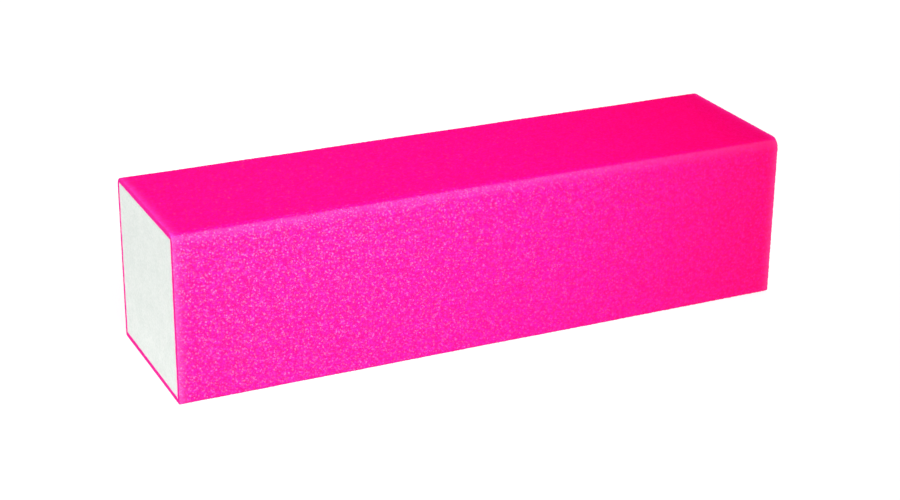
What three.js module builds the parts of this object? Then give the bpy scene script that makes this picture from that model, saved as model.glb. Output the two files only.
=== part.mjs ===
// A four-sided nail buffer block: a bar of white closed-cell foam with a thin flexible abrasive
// facing bonded to each long side. Both ends are cut square and left bare.
//
// Millimetres, +Z up. The block lies along X on its bottom facing, with the origin in the middle of
// that face. The front is -Y. Every piece is one section in the YZ plane, extruded along X.

import * as THREE from "three";

// Driving dimensions.
const LENGTH = 95;
const WIDTH = 25; // along Y, over the facings
const HEIGHT = 25; // along Z, over the facings
const FACING_THICKNESS = 0.75; // backing and grit together
const ADHESIVE_THICKNESS = 0.1;
const TOP_EDGE_RADIUS = 1.5; // the two upper long edges are eased
const BOTTOM_EDGE_RADIUS = 0.4; // the two lower long edges stay crisp
const ARC_STEPS = 8; // straight steps in an eighth of a circle

// Depths below the outer surface at which one layer meets the next.
const SURFACE = 0;
const FACING_BACK = FACING_THICKNESS;
const CORE_SURFACE = FACING_THICKNESS + ADHESIVE_THICKNESS;

// The four long sides, in order round the section. Each side has a frame of its own: u runs along the
// side and v points outwards. A side's frame is the top's, turned by so many quarter turns about +X.
// Its two edge radii are the one where u is lowest and the one where u is highest.
const SIDES = [
  { name: "top", quarterTurns: 0, edgeRadii: [TOP_EDGE_RADIUS, TOP_EDGE_RADIUS], grit: "fine" },
  { name: "front", quarterTurns: 1, edgeRadii: [BOTTOM_EDGE_RADIUS, TOP_EDGE_RADIUS], grit: "coarse" },
  { name: "bottom", quarterTurns: 2, edgeRadii: [BOTTOM_EDGE_RADIUS, BOTTOM_EDGE_RADIUS], grit: "fine" },
  { name: "back", quarterTurns: 3, edgeRadii: [TOP_EDGE_RADIUS, BOTTOM_EDGE_RADIUS], grit: "coarse" },
];

const MATERIALS = {
  foam: { color: 0xecf2ee, roughness: 0.85, metalness: 0 },
  adhesive: { color: 0xf99ac4, roughness: 0.4, metalness: 0 },
  fine: { color: 0xff1491, roughness: 0.8, metalness: 0 },
  coarse: { color: 0xff30b4, roughness: 0.9, metalness: 0 },
};

// Turns a point of a side's own frame into the section's (y, z), measured from the block's axis.
function turned({ u, v }, quarterTurns) {
  const places = [
    [u, v],
    [-v, u],
    [-u, -v],
    [v, -u],
  ];
  return new THREE.Vector2(...places[quarterTurns]);
}

// Half of a corner in a side's own frame, from the corner's 45 degree mitre line to the flat, rounded
// by a radius. Without a radius it is the corner's point alone.
function cornerPoints(halfLength, level, radius) {
  const centreU = halfLength - radius;
  const centreV = level - radius;
  if (radius === 0) return [{ u: centreU, v: centreV }];
  const points = [];
  for (let i = 0; i <= ARC_STEPS; i++) {
    const angle = (Math.PI / 4) * (1 + i / ARC_STEPS);
    points.push({ u: centreU + radius * Math.cos(angle), v: centreV + radius * Math.sin(angle) });
  }
  return points;
}

// The line of a side's surface at some depth, from the mitre line where u is lowest to the other one.
// Only the outer surface is rounded. The core is cut sharp, and the glue follows it.
function sideLine(side, depth) {
  const upright = side.quarterTurns % 2 === 1; // the front and the back
  const halfLength = (upright ? HEIGHT : WIDTH) / 2 - depth;
  const level = (upright ? WIDTH : HEIGHT) / 2 - depth;
  const [startRadius, endRadius] = depth === SURFACE ? side.edgeRadii : [0, 0];
  const start = cornerPoints(halfLength, level, startRadius).map(({ u, v }) => ({ u: -u, v }));
  const end = cornerPoints(halfLength, level, endRadius).reverse();
  return [...start, ...end].map((point) => turned(point, side.quarterTurns));
}

// A section in the YZ plane, as a bar along X of the block's length.
function barMesh(name, outline, material) {
  const geometry = new THREE.ExtrudeGeometry(new THREE.Shape(outline), {
    depth: LENGTH,
    steps: 1,
    bevelEnabled: false,
  });
  const mesh = new THREE.Mesh(geometry, new THREE.MeshStandardMaterial(MATERIALS[material]));
  mesh.name = name;
  return mesh;
}

// One layer of one side, between two depths, mitred to its neighbours at 45 degrees.
function layerMesh(name, side, outerDepth, innerDepth, material) {
  const outline = [...sideLine(side, outerDepth), ...sideLine(side, innerDepth).reverse()];
  return barMesh(name, outline, material);
}

// The core's section goes once round the four sides. Neighbouring lines share their mitre point.
// The sides come in the order of quarter turns, so each line is walked backwards to meet the next.
function coreMesh() {
  const outline = SIDES.flatMap((side) => sideLine(side, CORE_SURFACE).reverse().slice(1));
  return barMesh("foam_core", outline, "foam");
}

// The extrusion runs along its own Z, so the block's frame lays that along X, the section's first
// axis along Y and its second along Z, and lifts the block's axis to half its height.
const block = new THREE.Group();
block.name = "nail_buffer_block";
block.quaternion.setFromRotationMatrix(
  new THREE.Matrix4().makeBasis(
    new THREE.Vector3(0, 1, 0),
    new THREE.Vector3(0, 0, 1),
    new THREE.Vector3(1, 0, 0),
  ),
);
block.position.set(-LENGTH / 2, 0, HEIGHT / 2);

block.add(coreMesh());
for (const side of SIDES) {
  block.add(layerMesh(`${side.name}_abrasive`, side, SURFACE, FACING_BACK, side.grit));
  block.add(layerMesh(`${side.name}_adhesive`, side, FACING_BACK, CORE_SURFACE, "adhesive"));
}

export default block;
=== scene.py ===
"""The looks of a four-sided nail buffer block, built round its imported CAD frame.

Metres. The block lies along X, its front is -Y and +Z is up. Every piece of the block is modelled here
in fine mesh, in the place of its CAD node: four gritty facings that meet at mitred corners, four films
of adhesive behind them, and a core of closed-cell foam with bare cut ends.
"""

import math
from collections import namedtuple

import bpy
import numpy as np
from mathutils import Matrix, Vector


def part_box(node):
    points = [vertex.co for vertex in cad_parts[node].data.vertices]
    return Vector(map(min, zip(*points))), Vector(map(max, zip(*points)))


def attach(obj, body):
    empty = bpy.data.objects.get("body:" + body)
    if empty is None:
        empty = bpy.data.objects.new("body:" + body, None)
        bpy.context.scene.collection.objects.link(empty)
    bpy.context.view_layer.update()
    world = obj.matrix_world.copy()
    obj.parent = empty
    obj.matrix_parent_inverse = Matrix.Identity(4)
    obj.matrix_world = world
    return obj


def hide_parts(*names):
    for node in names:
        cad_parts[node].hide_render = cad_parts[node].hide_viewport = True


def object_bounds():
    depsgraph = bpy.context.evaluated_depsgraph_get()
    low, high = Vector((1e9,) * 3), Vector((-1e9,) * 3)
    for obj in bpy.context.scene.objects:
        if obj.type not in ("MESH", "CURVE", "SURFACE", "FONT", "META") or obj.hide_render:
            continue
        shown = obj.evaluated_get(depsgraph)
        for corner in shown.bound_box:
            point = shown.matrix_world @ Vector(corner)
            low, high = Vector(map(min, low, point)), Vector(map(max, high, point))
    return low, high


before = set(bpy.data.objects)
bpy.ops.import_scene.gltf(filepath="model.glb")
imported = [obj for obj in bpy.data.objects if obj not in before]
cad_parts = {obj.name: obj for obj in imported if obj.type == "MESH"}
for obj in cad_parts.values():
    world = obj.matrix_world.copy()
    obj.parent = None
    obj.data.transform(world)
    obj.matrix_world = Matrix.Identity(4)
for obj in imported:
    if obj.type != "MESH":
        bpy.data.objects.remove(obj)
cad_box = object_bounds()

MM = 0.001

# The block's own size, measured on the CAD frame.
LOW, HIGH = cad_box
CENTRE = (LOW + HIGH) / 2
LENGTH, WIDTH, HEIGHT = HIGH - LOW
FACING_DEPTH = HIGH.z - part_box("top_adhesive")[1].z
CORE_DEPTH = HIGH.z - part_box("foam_core")[1].z

# A side's mitre line leaves the corner at 45 degrees, so the box of a side gives its edges' radius.
MITRE_CUT = 1 - math.sqrt(0.5)
TOP_RADIUS = (HIGH.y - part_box("top_abrasive")[1].y) / MITRE_CUT
BOTTOM_RADIUS = (HIGH.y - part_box("bottom_abrasive")[1].y) / MITRE_CUT

# Spacing of the meshes, fine enough that a single facet is smaller than a grain.
SKIN_STEP = 0.19 * MM
INNER_STEP = 2.0 * MM
FILM_STEP = 0.5 * MM
FOAM_STEP = 0.13 * MM
FOAM_ROWS = 12  # steps along the core's plain sides
END_ROWS = np.array([0.04, 0.09]) * MM  # extra rows of the skin just inside the cut ends
STILL_ROWS = 4  # rows of the skin at each end that are not jittered
STEP_JITTER = 0.30  # of a step, so that the facets show no rows
SKIN_SEED = 11
LAYER_SEED = 29

# The cut ends of the facings and films.
CUT_ROWS = 4
CUT_ROUGHNESS = 0.012 * MM
CUT_ROUNDING = 0.03 * MM
CUT_ROUNDING_REACH = 0.12 * MM
SQUEEZE_OUT = 0.03 * MM
SQUEEZE_RANGE = (0.2, 1.6)  # of the usual squeeze-out, from point to point

# The grit is paler in from a cut end, and a painted highlight runs down a side from its rounded upper
# edge.
END_PALING_REACH = 0.65 * MM
RIDGE_HIGHLIGHT_REACH = 0.6 * MM
FADE_POWER = 1.5  # how suddenly either one fades
LAP_SHARE = 0.1  # how much of the top's half of a rounded edge the coarse coat laps over
LAP_FADE = 0.25 * MM  # over which the coarse coat gives way to the fine one

# quarter is the number of quarter turns about +X that bring the top to the side. The radii are those of
# the edges where the side's line starts and ends.
Side = namedtuple("Side", "name slot quarter start_radius end_radius")
SIDES = [
    Side("top", "fine_grit", 0, TOP_RADIUS, TOP_RADIUS),
    Side("front", "coarse_grit", 1, TOP_RADIUS, BOTTOM_RADIUS),
    Side("bottom", "fine_grit", 2, BOTTOM_RADIUS, BOTTOM_RADIUS),
    Side("back", "coarse_grit", 3, BOTTOM_RADIUS, TOP_RADIUS),
]
OUTWARD = [(0, 1), (-1, 0), (0, -1), (1, 0)]  # a side's outward direction in (y, z), by quarter
ALONG = [(-1, 0), (0, -1), (1, 0), (0, 1)]  # the direction in which a side's line runs

# The grains of the mesh. tilt is the slope of a facet, height how far the facets differ, dust how far
# the points of one facet do, and limit the most that anything stands out or lies deep.
Grain = namedtuple("Grain", "size tilt height dust limit")
COARSE = Grain(size=0.42 * MM, tilt=0.20, height=0.012 * MM, dust=0.010 * MM, limit=0.045 * MM)
FINE = Grain(size=0.34 * MM, tilt=0.10, height=0.006 * MM, dust=0.005 * MM, limit=0.025 * MM)
WAVE_LENGTH = 9 * MM  # of the slight unevenness of a facing on the foam
WAVE_HEIGHT = 0.03 * MM

FOAM_CELL = 0.42 * MM
FOAM_PIT = 0.028 * MM
FOAM_PIT_RANGE = (0.2, 1.3)  # of the usual depth, from cell to cell
FOAM_PIT_REACH = 0.55  # of a cell's size, from its middle to the pit's rim
FOAM_RIM = 0.5 * MM  # over which the pits fade towards the core's edges
FOAM_CROWN = 0.06 * MM

TINY = MM * MM  # stands for a radius of nothing where one is divided by


# ---------------------------------------------------------------------------------------------
# The section
# ---------------------------------------------------------------------------------------------


def spans(side, depth):
    """Half of a side's length along its face, and its level, at a depth below the surface."""
    upright = side.quarter % 2 == 1
    half = (HEIGHT if upright else WIDTH) / 2 - depth
    level = (WIDTH if upright else HEIGHT) / 2 - depth
    return half, level


def line_parts(side, depth):
    """A line's two corner radii, and the lengths of its first arc, its flat and its last arc.

    Only the outer surface is rounded. The layers below it meet at sharp corners.
    """
    half, _ = spans(side, depth)
    first, last = (side.start_radius, side.end_radius) if depth == 0 else (0, 0)
    return first, last, first * math.pi / 4, 2 * half - first - last, last * math.pi / 4


def line_length(side, depth):
    return sum(line_parts(side, depth)[2:])


def side_line(side, depth, share):
    """Points and outward normals, in (y, z) about the block's axis, on a side's line at a depth.

    share is 0 at the mitre where the line starts and 1 at the mitre where it ends.
    """
    half, level = spans(side, depth)
    first, last, first_arc, flat, last_arc = line_parts(side, depth)
    along = np.asarray(share, float) * (first_arc + flat + last_arc)
    past = along - first_arc - flat
    start = (along < first_arc) & (first > 0)
    end = (past > 0) & (last > 0)
    angle = np.zeros_like(along)
    angle[start] = (along[start] - first_arc) / max(first, TINY)
    angle[end] = past[end] / max(last, TINY)
    radius = np.where(start, first, last)
    u = -half + first + np.clip(along - first_arc, 0, flat) + radius * np.sin(angle)
    v = level - radius * (1 - np.cos(angle))
    out = np.array(OUTWARD[side.quarter], float)
    run = np.array(ALONG[side.quarter], float)
    points = u[..., None] * run + v[..., None] * out
    normals = np.sin(angle)[..., None] * run + np.cos(angle)[..., None] * out
    return points, normals


GIRTHS = np.array([line_length(side, 0) for side in SIDES])
STARTS = np.concatenate([[0], np.cumsum(GIRTHS)])  # where each side starts, going round the section
GIRTH = STARTS[-1]


# ---------------------------------------------------------------------------------------------
# Noise over the unrolled skin
# ---------------------------------------------------------------------------------------------


def waves(rng, x, s, length):
    """Smooth noise between -1 and 1, seamless round the section."""
    columns = round(GIRTH / length)
    rows = math.ceil(LENGTH / length) + 2
    values = rng.uniform(-1, 1, (rows, columns))
    row = (x + LENGTH / 2) / length
    column = s / GIRTH * columns
    i = np.clip(np.floor(row).astype(int), 0, rows - 2)
    j = np.floor(column).astype(int)
    p = row - i
    q = column - j
    p = p * p * (3 - 2 * p)
    q = q * q * (3 - 2 * q)
    near, far = j % columns, (j + 1) % columns
    low = values[i, near] * (1 - q) + values[i, far] * q
    high = values[i + 1, near] * (1 - q) + values[i + 1, far] * q
    return low * (1 - p) + high * p


def nearest_cell(rng, x, s, size, girth=None):
    """The cell that each point lies in: its offset from the cell's middle and the cell's number.

    The cells are a jittered lattice. With a girth they close up round the section.
    """
    period = round(girth / size) if girth else None
    pitch = girth / period if girth else size
    row = x / size
    column = s / pitch
    i0 = np.floor(row).astype(int)
    j0 = np.floor(column).astype(int)
    lowest = (i0.min() - 1, j0.min() - 1)
    rows = i0.max() - lowest[0] + 2
    columns = period or j0.max() - lowest[1] + 2
    middles = rng.uniform(0, 1, (rows, columns, 2))
    best = np.full(row.shape, np.inf)
    offset = np.zeros(row.shape + (2,))
    cell = np.zeros(row.shape, int)
    for di in (-1, 0, 1):
        for dj in (-1, 0, 1):
            i = i0 + di
            j = j0 + dj
            a = i - lowest[0]
            b = j % period if period else j - lowest[1]
            dx = (row - i - middles[a, b, 0]) * size
            ds = (column - j - middles[a, b, 1]) * pitch
            gap = dx * dx + ds * ds
            closer = gap < best
            best[closer] = gap[closer]
            offset[closer, 0] = dx[closer]
            offset[closer, 1] = ds[closer]
            cell[closer] = (a * columns + b)[closer]
    return offset, cell, rows * columns


def grit_height(rng, x, s, grain):
    """Height of a coat of grit. Each grain is a facet with a height and a tilt of its own.

    No grain stands further out or lies deeper than the coat's limit.
    """
    offset, cell, count = nearest_cell(rng, x, s, grain.size, GIRTH)
    tilt = rng.normal(0, grain.tilt, (count, 2))
    height = rng.normal(0, grain.height, count)
    facet = height[cell] + (tilt[cell] * offset).sum(-1)
    facet += rng.uniform(-grain.dust, grain.dust, x.shape)
    return grain.limit * np.tanh(facet / grain.limit)


# ---------------------------------------------------------------------------------------------
# Meshes
# ---------------------------------------------------------------------------------------------


def grid_faces(numbers):
    """Quads over a grid of vertex numbers whose rows follow +X and whose columns go round."""
    corners = [numbers[:-1, :-1], numbers[:-1, 1:], numbers[1:, 1:], numbers[1:, :-1]]
    return np.stack(corners, -1).reshape(-1, 4)


def bridge(first, second, x):
    """Triangles between two lines of vertex numbers that both run along +X."""
    faces = []
    a = b = 0
    while a < len(first) - 1 or b < len(second) - 1:
        second_done = b == len(second) - 1
        if second_done or (a < len(first) - 1 and x[first[a + 1]] <= x[second[b + 1]]):
            faces.append((first[a], first[a + 1], second[b]))
            a += 1
        else:
            faces.append((first[a], second[b + 1], second[b]))
            b += 1
    return np.array(faces)


def add_piece(name, vertices, face_sets, attributes, material, nodes):
    """One closed mesh of the block, faceted, riding on the root body in the place of CAD nodes."""
    mesh = bpy.data.meshes.new(name)
    faces = [face for faces in face_sets for face in faces.tolist()]
    mesh.from_pydata(vertices.tolist(), [], faces)
    for key, values in attributes.items():
        attribute = mesh.attributes.new(key, "FLOAT", "POINT")
        attribute.data.foreach_set("value", values.astype(np.float32))
    mesh.materials.append(material)
    mesh.update()
    piece = bpy.data.objects.new(name, mesh)
    bpy.context.scene.collection.objects.link(piece)
    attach(piece, "root")
    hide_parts(*nodes)
    return piece


def layer_mesh(outer, inner, low_cap, high_cap):
    """Vertices and faces of a closed layer of one side.

    outer and inner are grids of points with the same columns. Each cap holds the rows of points that
    lie between them at one end.
    """
    parts = [outer, inner, low_cap, high_cap]
    vertices = np.concatenate([part.reshape(-1, 3) for part in parts])
    numbers = []
    count = 0
    for part in parts:
        size = part.shape[0] * part.shape[1]
        numbers.append(np.arange(count, count + size).reshape(part.shape[:2]))
        count += size
    outside, inside, low, high = numbers
    low_end = np.concatenate([outside[:1], low, inside[:1]])
    high_end = np.concatenate([outside[-1:], high, inside[-1:]])
    x = vertices[:, 0]

    def mitre(column):
        edge = np.concatenate([low[::-1, column], outside[:, column], high[:, column]])
        return bridge(edge, inside[:, column], x)

    face_sets = [
        grid_faces(outside),
        grid_faces(inside)[:, ::-1],
        grid_faces(low_end)[:, ::-1],
        grid_faces(high_end),
        mitre(0),
        mitre(-1)[:, ::-1],
    ]
    return vertices, face_sets


def placed(x, section):
    """Points in the block's frame, from x and (y, z) about the block's axis."""
    x = np.broadcast_to(x, section.shape[:-1])
    return np.stack([x + CENTRE.x, section[..., 0] + CENTRE.y, section[..., 1] + CENTRE.z], -1)


def ends_first(step):
    """Places along X from end to end at about a step, with extra rows close to the cut ends."""
    inside = LENGTH / 2 - 2 * END_ROWS[-1]
    middle = np.linspace(-inside, inside, round(2 * inside / step))
    low_rows = np.concatenate([[0], END_ROWS]) - LENGTH / 2
    return np.concatenate([low_rows, middle, -low_rows[::-1]])


def skin():
    """The whole gritty surface, as one grid that goes round the section.

    Returns, for each side, its grid of points, the share of each column along its line, and the
    coats at each point: how coarse the grit is and how strong the painted highlight down from its
    upper edge is. Neighbouring sides share the column on the mitre between them.
    """
    rng = np.random.default_rng(SKIN_SEED)
    x_rows = ends_first(SKIN_STEP)
    counts = [round(girth / SKIN_STEP) for girth in GIRTHS]
    shares = [np.arange(count) / count for count in counts]
    s_columns = np.concatenate(
        [start + share * girth for start, share, girth in zip(STARTS, shares, GIRTHS)]
    )
    on_mitre = np.concatenate([share == 0 for share in shares])
    x, s = np.meshgrid(x_rows, s_columns, indexing="ij")
    jitter = rng.uniform(-STEP_JITTER, STEP_JITTER, (2,) + x.shape) * SKIN_STEP
    jitter[:, :STILL_ROWS] = 0
    jitter[:, -STILL_ROWS:] = 0
    jitter[1][:, on_mitre] = 0
    x = x + jitter[0]
    s = s + jitter[1]

    # The coarse coat covers the front and back and laps over the long edges.
    coarse = coarseness(s)
    height = coarse * grit_height(rng, x, s, COARSE) + (1 - coarse) * grit_height(rng, x, s, FINE)
    height += WAVE_HEIGHT * waves(rng, x, s % GIRTH, WAVE_LENGTH)
    from_end = LENGTH / 2 - np.abs(x)
    height -= CUT_ROUNDING * np.exp(-from_end / CUT_ROUNDING_REACH)

    grids = []
    column = 0
    for k, side in enumerate(SIDES):
        taken = np.arange(column, column + counts[k] + 1) % len(s_columns)
        share = (s[:, taken] - STARTS[k]) / GIRTHS[k]
        share[:, -1] = 1
        section, normals = side_line(side, 0, share)
        points = placed(x[:, taken], section + normals * height[:, taken, None])
        # The second coat marks the painted highlight along the upper edges.
        coats = {"coarse": coarse[:, taken], "ridge_highlight": edge_highlight(s[:, taken])}
        grids.append((points, np.linspace(0, 1, counts[k] + 1), coats))
        column += counts[k]
    return grids


def coarseness(s):
    """1 on the front and back and just past the long edges, and 0 on the rest of the top and bottom."""
    value = np.ones_like(s)
    for k, side in enumerate(SIDES):
        if side.slot != "fine_grit":
            continue
        lap = LAP_SHARE * side.start_radius * math.pi / 4
        from_edge = np.minimum(s - STARTS[k], STARTS[k + 1] - s)
        inside = from_edge > 0
        value[inside] = np.clip(1 - (from_edge[inside] - lap) / LAP_FADE, 0, 1)
    return value


def edge_highlight(s):
    """Painted highlight on the rounded upper edges: 1 where the coarse coat starts, fading down the
    side.
    """
    arc = TOP_RADIUS * math.pi / 4
    lap = LAP_SHARE * arc
    value = np.zeros_like(s)
    for past in (s - STARTS[1], -s, GIRTH - s):  # the distance past a mitre, onto the side
        rise = np.clip((past + lap + LAP_FADE) / LAP_FADE, 0, 1)
        fall = np.clip((arc + RIDGE_HIGHLIGHT_REACH - past) / (arc + RIDGE_HIGHLIGHT_REACH + lap), 0, 1)
        value = np.maximum(value, rise * fall**FADE_POWER)
    return value


def end_paling(x):
    """Paling in from a cut end: 1 at the end, fading away past END_PALING_REACH."""
    from_end = np.maximum(LENGTH / 2 - np.abs(x - CENTRE.x), 0)
    return np.exp(-((from_end / END_PALING_REACH) ** FADE_POWER))


def add_facing(rng, side, outer, shares, coats, material):
    """A facing: its gritty skin, its plain inner face and its two cut ends."""
    x_inner = np.linspace(-LENGTH / 2, LENGTH / 2, round(LENGTH / INNER_STEP) + 1)
    inner_line, _ = side_line(side, FACING_DEPTH, shares)
    inner = placed(x_inner[:, None], np.broadcast_to(inner_line, (len(x_inner),) + inner_line.shape))
    depth = np.arange(1, CUT_ROWS) / CUT_ROWS
    caps = []
    for end in (0, -1):
        cap = outer[end] * (1 - depth[:, None, None]) + inner[end] * depth[:, None, None]
        cap[..., 0] += rng.normal(0, CUT_ROUGHNESS, cap.shape[:2])
        caps.append(cap)
    vertices, face_sets = layer_mesh(outer, inner, *caps)
    cut = np.concatenate(
        [
            np.zeros(outer.shape[:2]).ravel(),
            np.ones(inner.shape[:2]).ravel(),
            np.repeat(depth, len(shares)),
            np.repeat(depth, len(shares)),
        ]
    )
    attributes = {"end_paling": end_paling(vertices[:, 0]), "cut": cut}
    for key, values in coats.items():
        attributes[key] = np.zeros(len(vertices))
        attributes[key][: values.size] = values.ravel()
    name = side.name + "_abrasive"
    return add_piece(name + "_sheet", vertices, face_sets, attributes, material, [name])


def add_film(rng, side, material):
    """A film of adhesive between a facing and the core, squeezed out a little at the cut ends."""
    columns = round(line_length(side, FACING_DEPTH) / FILM_STEP) + 1
    share = np.linspace(0, 1, columns)
    rows = round(LENGTH / INNER_STEP) + 1
    x = np.linspace(-LENGTH / 2, LENGTH / 2, rows)
    grids = []
    for depth in (FACING_DEPTH, CORE_DEPTH):
        line, _ = side_line(side, depth, share)
        grids.append(placed(x[:, None], np.broadcast_to(line, (rows, columns, 2))))
    outer, inner = grids
    caps = []
    for end, outwards in ((0, -1), (-1, 1)):
        bead = (outer[end] + inner[end]) / 2
        bead[:, 0] += outwards * SQUEEZE_OUT * rng.uniform(*SQUEEZE_RANGE, columns)
        caps.append(bead[None])
    vertices, face_sets = layer_mesh(outer, inner, *caps)
    name = side.name + "_adhesive"
    return add_piece(name + "_film", vertices, face_sets, {}, material, [name])


def rim_numbers(numbers):
    """The vertex numbers round a grid's rim, in order."""
    return np.concatenate([numbers[0, :-1], numbers[:-1, -1], numbers[-1, :0:-1], numbers[:0:-1, 0]])


def add_core(rng, material):
    """The foam core: bare ends with cut-open cells and a faint crown, and plain sides."""
    half_y = WIDTH / 2 - CORE_DEPTH
    half_z = HEIGHT / 2 - CORE_DEPTH
    steps = round(2 * half_y / FOAM_STEP)
    y_line = np.linspace(-half_y, half_y, steps + 1)
    z_line = np.linspace(-half_z, half_z, steps + 1)
    section = np.stack(np.meshgrid(y_line, z_line, indexing="ij"), -1)
    rim_fall = np.minimum(half_y - np.abs(section[..., 0]), half_z - np.abs(section[..., 1]))
    inside = np.clip(rim_fall / FOAM_RIM, 0, 1)
    crown = FOAM_CROWN * np.sqrt(np.clip(rim_fall / half_y, 0, 1))
    ends = []
    for outwards in (-1, 1):
        offset, cell, count = nearest_cell(rng, section[..., 0], section[..., 1], FOAM_CELL)
        depth = FOAM_PIT * rng.uniform(*FOAM_PIT_RANGE, count)[cell]
        reach = (offset**2).sum(-1) / (FOAM_PIT_REACH * FOAM_CELL) ** 2
        pits = -depth * np.clip(1 - reach, 0, 1) * inside
        ends.append(placed(outwards * (LENGTH / 2 + crown + pits), section))
    size = (steps + 1) ** 2
    low = np.arange(size).reshape(steps + 1, steps + 1)
    high = low + size
    low_rim = rim_numbers(low)
    loops = [low_rim]
    rows = [end.reshape(-1, 3) for end in ends]
    count = 2 * size
    rim = ends[0].reshape(-1, 3)[low_rim]
    for share in np.arange(1, FOAM_ROWS) / FOAM_ROWS:
        loop = rim.copy()
        loop[:, 0] = CENTRE.x + LENGTH * (share - 0.5)
        rows.append(loop)
        loops.append(np.arange(count, count + len(loop)))
        count += len(loop)
    loops.append(rim_numbers(high))
    around = np.array([np.append(loop, loop[0]) for loop in loops])
    face_sets = [grid_faces(low), grid_faces(high)[:, ::-1], grid_faces(around)]
    piece = add_piece(
        "foam_core_block", np.concatenate(rows), face_sets, {}, material, ["foam_core"]
    )
    return piece


# ---------------------------------------------------------------------------------------------
# Materials
# ---------------------------------------------------------------------------------------------


class Surface:
    """A material with one Principled shader, and short ways to add the nodes that feed it."""

    def __init__(self, name, roughness, specular):
        self.material = bpy.data.materials.new(name)
        self.material.use_nodes = True
        self.nodes = self.material.node_tree.nodes
        self.links = self.material.node_tree.links
        self.shader = self.nodes["Principled BSDF"]
        self.feed("Roughness", roughness)
        self.feed("Specular IOR Level", specular)
        self.place = self.nodes.new("ShaderNodeTexCoord").outputs["Object"]

    def put(self, socket, value):
        """Links value into a socket if it is a socket, or sets it."""
        if isinstance(value, bpy.types.NodeSocket):
            self.links.new(value, socket)
        else:
            socket.default_value = value

    def feed(self, key, value):
        """Links value into one of the shader's own sockets, or sets it there."""
        self.put(self.shader.inputs[key], value)

    def noise(self, size, detail):
        """Smooth noise from 0 to 1 with features of about a size in metres."""
        node = self.nodes.new("ShaderNodeTexNoise")
        node.inputs["Scale"].default_value = 1 / size
        node.inputs["Detail"].default_value = detail
        self.put(node.inputs["Vector"], self.place)
        return node.outputs["Fac"]

    def voronoi(self, size):
        """Cells of a size in metres: a random colour for each, and the distance from its middle."""
        node = self.nodes.new("ShaderNodeTexVoronoi")
        node.inputs["Scale"].default_value = 1 / size
        self.put(node.inputs["Vector"], self.place)
        return node.outputs["Color"], node.outputs["Distance"]

    def cells(self, size):
        """Cells of a size: two random numbers for each, and the distance from its middle."""
        colour, distance = self.voronoi(size)
        split = self.nodes.new("ShaderNodeSeparateColor")
        self.put(split.inputs["Color"], colour)
        return split.outputs["Red"], split.outputs["Green"], distance

    def attribute(self, name):
        node = self.nodes.new("ShaderNodeAttribute")
        node.attribute_name = name
        return node.outputs["Fac"]

    def fit(self, value, low, high, to_low=0.0, to_high=1.0):
        """value from low to high, moved to run from to_low to to_high and held there."""
        node = self.nodes.new("ShaderNodeMapRange")
        limits = {"From Min": low, "From Max": high, "To Min": to_low, "To Max": to_high}
        self.put(node.inputs["Value"], value)
        for key, number in limits.items():
            self.put(node.inputs[key], number)
        return node.outputs["Result"]

    def math(self, operation, a, b):
        node = self.nodes.new("ShaderNodeMath")
        node.operation = operation
        self.put(node.inputs[0], a)
        self.put(node.inputs[1], b)
        return node.outputs["Value"]

    def weighted(self, a, b, shares):
        """The sum of a and b, each times its share."""
        first = self.math("MULTIPLY", a, shares[0])
        second = self.math("MULTIPLY", b, shares[1])
        return self.math("ADD", first, second)

    def vector(self, operation, a, b=(0, 0, 0)):
        node = self.nodes.new("ShaderNodeVectorMath")
        node.operation = operation
        self.put(node.inputs[0], a)
        self.put(node.inputs[1], b)
        return node.outputs["Vector"]

    def mix(self, share, a, b):
        """Colour a where share is 0, and b where it is 1."""
        node = self.nodes.new("ShaderNodeMix")
        node.data_type = "RGBA"
        self.put(node.inputs["Factor"], share)
        self.put(node.inputs["A"], a)
        self.put(node.inputs["B"], b)
        return node.outputs["Result"]

    def facets(self, size, lean):
        """The surface's normal, leaning at random by up to about lean, the same all over each cell."""
        colour, _ = self.voronoi(size)
        centred = self.vector("SUBTRACT", colour, (0.5, 0.5, 0.5))
        leaning = self.vector("MULTIPLY", centred, (2 * lean, 2 * lean, 2 * lean))
        normal = self.nodes.new("ShaderNodeNewGeometry").outputs["Normal"]
        return self.vector("NORMALIZE", self.vector("ADD", normal, leaning))

    def bump(self, height, depth):
        """Bumps whose height of 1 stands for a depth in metres."""
        node = self.nodes.new("ShaderNodeBump")
        node.inputs["Distance"].default_value = depth
        node.inputs["Strength"].default_value = 1.0
        self.put(node.inputs["Height"], height)
        self.feed("Normal", node.outputs["Normal"])


def rgb(red, green, blue):
    """A linear colour as a socket takes it."""
    return (red, green, blue, 1.0)


# The grit's colours, from the darkest grains, partly painted shade, to the paler cut ends; the sparks'
# colour is a painted glint and the ridge's a painted highlight.
# Partly painted shade: the deep colour also stands for the shade between grains.
GRIT_DEEP_AND_SHADED = rgb(0.96, 0.0004, 0.137)
GRIT_MIDDLE = rgb(1.0, 0.0006, 0.188)
GRIT_PALE = rgb(1.0, 0.002, 0.215)
# Painted glint: the colour of the sparks.
GRIT_PAINTED_GLINT = rgb(1.0, 0.006, 0.235)
# Painted highlight: the colour of the lit band along the rounded upper edges.
GRIT_RIDGE_HIGHLIGHT = rgb(1.0, 0.018, 0.21)
FINE_END_PALE = rgb(1.0, 0.024, 0.32)
COARSE_END_PALE = rgb(1.0, 0.040, 0.25)
GRIT_CUT = rgb(1.0, 0.020, 0.36)
BACKING = rgb(0.98, 0.12, 0.45)

# One kind of grit. grain is the size of a grain and relief the height of its bumps. pale is the share
# of pale grains, and lightened the paler colour at the cut ends.
Grit = namedtuple("Grit", "name grain relief pale worn roughness")
FINE_GRIT = Grit("fine_pink_grit", 0.26 * MM, 0.04 * MM, 0.5, FINE_END_PALE, 0.55)
COARSE_GRIT = Grit("coarse_pink_grit", 0.30 * MM, 0.03 * MM, 1.0, COARSE_END_PALE, 0.30)

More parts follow.
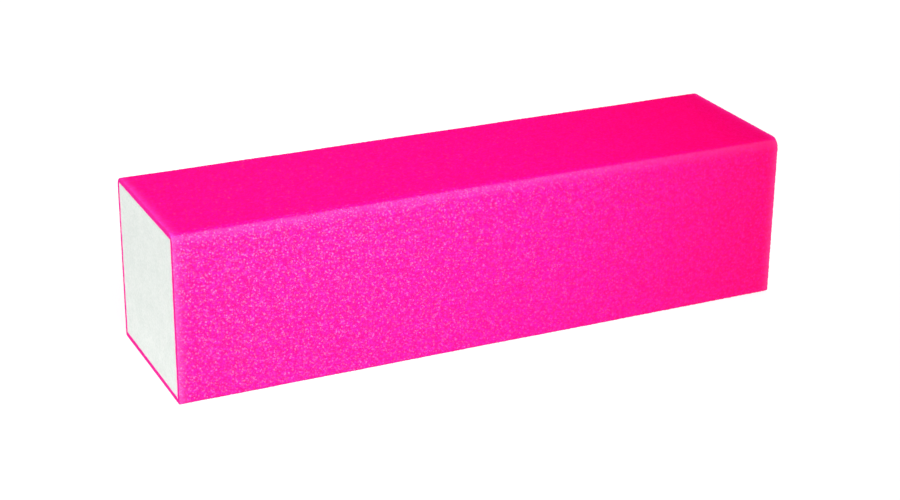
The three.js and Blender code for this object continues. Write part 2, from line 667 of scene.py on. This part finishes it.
# The tone is a sum of each grain's own tone and the clumps'. It is about 0.55 on average. The colour
# goes from the deep one to the middle one, and from there to the pale one, over these ranges of it.
TONE_SHARES = (0.6, 0.5)  # of the grains and of the clumps
CLUMP_SIZE = 2.5  # in grains
MIDDLE_TONES = (0.30, 0.78)
PALE_TONES = (0.60, 0.85)

PATCHES = (0.3, 0.6)  # the clumps' noise, over which the painted highlight and the end paling grow from PATCH_LEAST to the whole
PATCH_LEAST = 0.6
BARE_EDGE = (0.02, 0.15)  # of a facing's depth, over which the skin gives way to the cut's colour
BARE_BACK = (0.9, 1.0)  # of a facing's depth, over which the backing shows
BACK_SHARE = 0.5  # how far the cut's colour turns to the backing's
GLOSSY_GRAINS = 0.12  # the share of the grains that are smoother than the rest
GLOSSY_ROUGHNESS = 0.3  # of the smoothest grain
BUMP_SIZE = 0.8  # in grains
DOME_SHARE = 0.1  # of the bumps' height, by which a grain's middle stands above its rim

# The resin over the grit: a thin coat of tiny facets that each lean their own way, with sparks where it
# is thicker. The fine grit has only a share of both.
FACET_SIZE = 0.20 * MM
FACET_LEAN = 0.75  # of the length of the surface's own normal
COAT_ROUGHNESS = 0.55
COAT_IOR = 2.5
RESIN = 0.053  # the coat's weight between the sparks
SPARK_RESIN = 0.064  # the coat's weight on the brightest spark
SPARK_SIZE = 0.42 * MM
SPARK_RIM = (0.25, 0.5)  # of a spark's cell, over which the spark fades
SPARK_TONES = (0.2, 0.9)  # random numbers between which a spark goes from none to the brightest
FINE_SHARE = 0.25

# The foam's tone is a sum of small specks and a broad mottle, and its relief one of specks and grain.
FOAM_WHITE = rgb(0.90, 0.935, 0.90)
FOAM_SHADE = rgb(0.80, 0.85, 0.81)
FOAM_SPECK = 0.28 * MM
FOAM_MOTTLE = 3 * MM
FOAM_TONE_SHARES = (0.45, 0.7)  # of the specks and of the mottle
FOAM_TONES = (0.35, 0.9)  # over which the shade turns white
FOAM_GRAIN = 0.09 * MM
FOAM_RELIEF_SHARES = (0.6, 0.5)  # of the specks, which are hollow, and of the grain
FOAM_RELIEF = 0.012 * MM

# The glue's streaks go from pale to pink over a range of their noise.
GLUE_PALE = rgb(0.97, 0.45, 0.66)
GLUE_PINK = rgb(0.99, 0.16, 0.46)
GLUE_STREAK = 1.5 * MM
GLUE_TONES = (0.4, 0.6)
GLUE_GRAIN = 0.2 * MM
GLUE_RELIEF = 0.01 * MM


def grit_material(grit):
    """Neon pink grit in resin, paler at the cut ends, with a painted highlight along the upper edges.
    """
    surface = Surface(grit.name, grit.roughness, specular=0.0)
    grain_tone, grain_gloss, grain_reach = surface.cells(grit.grain)
    clumps = surface.noise(CLUMP_SIZE * grit.grain, detail=3)
    tone = surface.weighted(grain_tone, clumps, TONE_SHARES)

    # The sparks: dots in a lattice of their own, most of them on the coarse grit. They are painted
    # glints in the colour, and thicker resin in the coat.
    coarse = surface.attribute("coarse")
    gritty = surface.fit(coarse, 0, 1, FINE_SHARE, 1)
    spark_tone, _, spark_reach = surface.cells(SPARK_SIZE)
    dots = surface.fit(spark_reach, *SPARK_RIM, 1, 0)
    spark = surface.math("MULTIPLY", dots, surface.fit(spark_tone, *SPARK_TONES))

    # The skin's colour, then the painted highlight of the upper edges and the paling at the cut ends,
    # then the cut face and the backing behind it.
    # The deep end of the tone is partly painted shade between grains.
    low = surface.mix(surface.fit(tone, *MIDDLE_TONES), GRIT_DEEP_AND_SHADED, GRIT_MIDDLE)
    speckle = surface.fit(tone, *PALE_TONES, 0, surface.fit(coarse, 0, 1, grit.pale, 1.0))
    speckled = surface.mix(speckle, low, GRIT_PALE)
    # Painted glints: the sparks lighten the colour.
    with_painted_glints = surface.mix(surface.math("MULTIPLY", spark, gritty), speckled, GRIT_PAINTED_GLINT)
    patchy = surface.fit(clumps, *PATCHES, PATCH_LEAST, 1)
    # The upper edges' painted highlight, patchy with the clumps, and the paling in from the cut ends.
    ridge_highlight = surface.math("MULTIPLY", surface.attribute("ridge_highlight"), patchy)
    paling = surface.math("MULTIPLY", surface.attribute("end_paling"), patchy)
    worn = surface.mix(paling, surface.mix(ridge_highlight, with_painted_glints, GRIT_RIDGE_HIGHLIGHT), grit.worn)
    cut = surface.attribute("cut")
    edge = surface.mix(surface.fit(cut, *BARE_EDGE), worn, GRIT_CUT)
    surface.feed("Base Color", surface.mix(surface.fit(cut, *BARE_BACK, 0, BACK_SHARE), edge, BACKING))

    gloss = surface.fit(grain_gloss, 0, GLOSSY_GRAINS, GLOSSY_ROUGHNESS, grit.roughness)
    surface.feed("Roughness", gloss)
    bumps = surface.noise(BUMP_SIZE * grit.grain, detail=1.5)
    fall = surface.math("MULTIPLY", grain_reach, DOME_SHARE)
    surface.bump(surface.math("SUBTRACT", bumps, fall), grit.relief)

    resin = surface.fit(spark, 0, 1, RESIN, SPARK_RESIN)
    surface.feed("Coat Weight", surface.math("MULTIPLY", gritty, resin))
    surface.feed("Coat Roughness", COAT_ROUGHNESS)
    surface.feed("Coat IOR", COAT_IOR)
    surface.feed("Coat Normal", surface.facets(FACET_SIZE, FACET_LEAN))
    return surface.material


def foam_material():
    """White closed-cell foam, faintly mottled, with cut cell walls finer than the mesh."""
    surface = Surface("closed_cell_foam", roughness=0.85, specular=0.02)
    cell_tone, _, cell_reach = surface.cells(FOAM_SPECK)
    mottle = surface.noise(FOAM_MOTTLE, detail=4)
    tone = surface.weighted(cell_tone, mottle, FOAM_TONE_SHARES)
    surface.feed("Base Color", surface.mix(surface.fit(tone, *FOAM_TONES), FOAM_SHADE, FOAM_WHITE))
    grain = surface.noise(FOAM_GRAIN, detail=2)
    surface.bump(surface.weighted(cell_reach, grain, FOAM_RELIEF_SHARES), FOAM_RELIEF)
    return surface.material


def glue_material():
    """A milky glue film, tinted by the pink that soaks into it from the facing."""
    surface = Surface("milky_adhesive", roughness=0.35, specular=0.05)
    streaks = surface.noise(GLUE_STREAK, detail=3)
    surface.feed("Base Color", surface.mix(surface.fit(streaks, *GLUE_TONES), GLUE_PALE, GLUE_PINK))
    surface.bump(surface.noise(GLUE_GRAIN, detail=2), GLUE_RELIEF)
    return surface.material


# ---------------------------------------------------------------------------------------------
# Floor, light and camera
# ---------------------------------------------------------------------------------------------

WHITE = rgb(1, 1, 1)
FLOOR_SIZE = 6.0
FLOOR_GAP = 0.08 * MM  # below the CAD box, because the bottom's grains stand out of it
FLOOR_GREY = rgb(0.30, 0.30, 0.30)  # what the floor gives back of the light on it
FLOOR_GLOW = 0.80  # what it gives off by itself, so that it reads white with hardly a shadow
SURROUND = 0.66  # brightness of the white surroundings as the block sees them

# Two spots at one place. The key gives only diffuse light. The glints give only gloss, and stronger
# than the key would, because the coat of resin is thin.
Spot = namedtuple("Spot", "name aim watts cone blend")
SPOT_PLACE = (-0.055, -0.27, 0.165)
SPOT_RADIUS = 0.03
KEY = Spot("key", (-0.0225, 0, 0), 7.4, math.radians(27.5), 0.8)
GLINTS = Spot("key_glints", (-0.045, 0, 0.020), 36, math.radians(28), 1.0)
FILL_PLACE = (0.15, 0.45, 0.12)
FILL_SIZE = 0.30
FILL_WATTS = 0.8

CAMERA_AZIMUTH = math.radians(-25.3)
CAMERA_ELEVATION = math.radians(22.67)
CAMERA_ROLL = math.radians(0.51)
CAMERA_DISTANCE = 302.9 * MM
CAMERA_SLIDE = Vector((-0.92, -2.12)) * MM  # right and up
LENS = 81.6  # in millimetres, as Blender takes it
SENSOR = 36.0
CLIP_START = 0.01
CLIP_END = 20


def add_floor():
    mesh = bpy.data.meshes.new("floor")
    half = FLOOR_SIZE / 2
    corners = [(-half, -half, 0), (half, -half, 0), (half, half, 0), (-half, half, 0)]
    mesh.from_pydata(corners, [], [(0, 1, 2, 3)])
    floor = bpy.data.objects.new("floor", mesh)
    floor.location.z = LOW.z - FLOOR_GAP
    bpy.context.scene.collection.objects.link(floor)
    surface = Surface("pale_floor", roughness=0.9, specular=0.0)
    surface.feed("Base Color", FLOOR_GREY)
    surface.feed("Emission Color", WHITE)
    surface.feed("Emission Strength", FLOOR_GLOW)
    surface.material.cycles.emission_sampling = "NONE"  # so wide and even that it needs no aimed rays
    mesh.materials.append(surface.material)
    floor.visible_glossy = False


def set_surroundings():
    """White to the camera, and a dimmer white to everything that it lights."""
    world = bpy.data.worlds.new("studio")
    world.use_nodes = True
    world.cycles_visibility.glossy = False
    world.cycles.sampling_method = "NONE"  # even all round, so it needs no aimed rays
    bpy.context.scene.world = world
    nodes = world.node_tree.nodes
    links = world.node_tree.links
    background = nodes["Background"]
    background.inputs["Color"].default_value = WHITE
    seen = nodes.new("ShaderNodeLightPath").outputs["Is Camera Ray"]
    strength = nodes.new("ShaderNodeMapRange")
    strength.inputs["To Min"].default_value = SURROUND
    strength.inputs["To Max"].default_value = 1.0
    links.new(seen, strength.inputs["Value"])
    links.new(strength.outputs["Result"], background.inputs["Strength"])


def add_lamp(name, kind, place, aim, watts):
    """A lamp of a kind at a place about the block's middle, aimed at another, unseen by the camera."""
    light = bpy.data.lights.new(name, kind)
    light.energy = watts
    light.cycles.use_multiple_importance_sampling = False
    lamp = bpy.data.objects.new(name, light)
    lamp.location = CENTRE + Vector(place)
    lamp.rotation_euler = (Vector(aim) - Vector(place)).to_track_quat("-Z", "Y").to_euler()
    lamp.visible_camera = False
    bpy.context.scene.collection.objects.link(lamp)
    return lamp


def add_spot(spot):
    lamp = add_lamp(spot.name, "SPOT", SPOT_PLACE, spot.aim, spot.watts)
    lamp.data.spot_size = spot.cone
    lamp.data.spot_blend = spot.blend
    lamp.data.shadow_soft_size = SPOT_RADIUS
    return lamp


def add_lights():
    """Soft-edged spots in front, aimed at the left so that they fade to the right, and fill behind."""
    add_spot(KEY).visible_glossy = False
    add_spot(GLINTS).visible_diffuse = False
    fill = add_lamp("back_fill", "AREA", FILL_PLACE, (0, 0, 0), FILL_WATTS)
    fill.data.size = FILL_SIZE
    fill.visible_glossy = False


def add_camera():
    a, e = CAMERA_AZIMUTH, CAMERA_ELEVATION
    back = Vector((math.sin(a) * math.cos(e), -math.cos(a) * math.cos(e), math.sin(e)))
    turn = (-back).to_track_quat("-Z", "Y").to_matrix() @ Matrix.Rotation(CAMERA_ROLL, 3, "Z")
    right, up = turn.col[0], turn.col[1]
    camera = bpy.data.objects.new("camera", bpy.data.cameras.new("camera"))
    camera.data.lens = LENS
    camera.data.sensor_width = SENSOR
    camera.data.clip_start = CLIP_START
    camera.data.clip_end = CLIP_END
    camera.location = CENTRE + back * CAMERA_DISTANCE + right * CAMERA_SLIDE.x + up * CAMERA_SLIDE.y
    camera.rotation_euler = turn.to_euler()
    bpy.context.scene.collection.objects.link(camera)
    bpy.context.scene.camera = camera


def main():
    bpy.context.scene.view_settings.view_transform = "Standard"
    add_camera()
    set_surroundings()
    add_floor()
    add_lights()

    facings = {"fine_grit": grit_material(FINE_GRIT), "coarse_grit": grit_material(COARSE_GRIT)}
    glue = glue_material()
    rng = np.random.default_rng(LAYER_SEED)
    for side, (points, shares, coats) in zip(SIDES, skin()):
        add_facing(rng, side, points, shares, coats, facings[side.slot])
        add_film(rng, side, glue)
    add_core(rng, foam_material())


main()
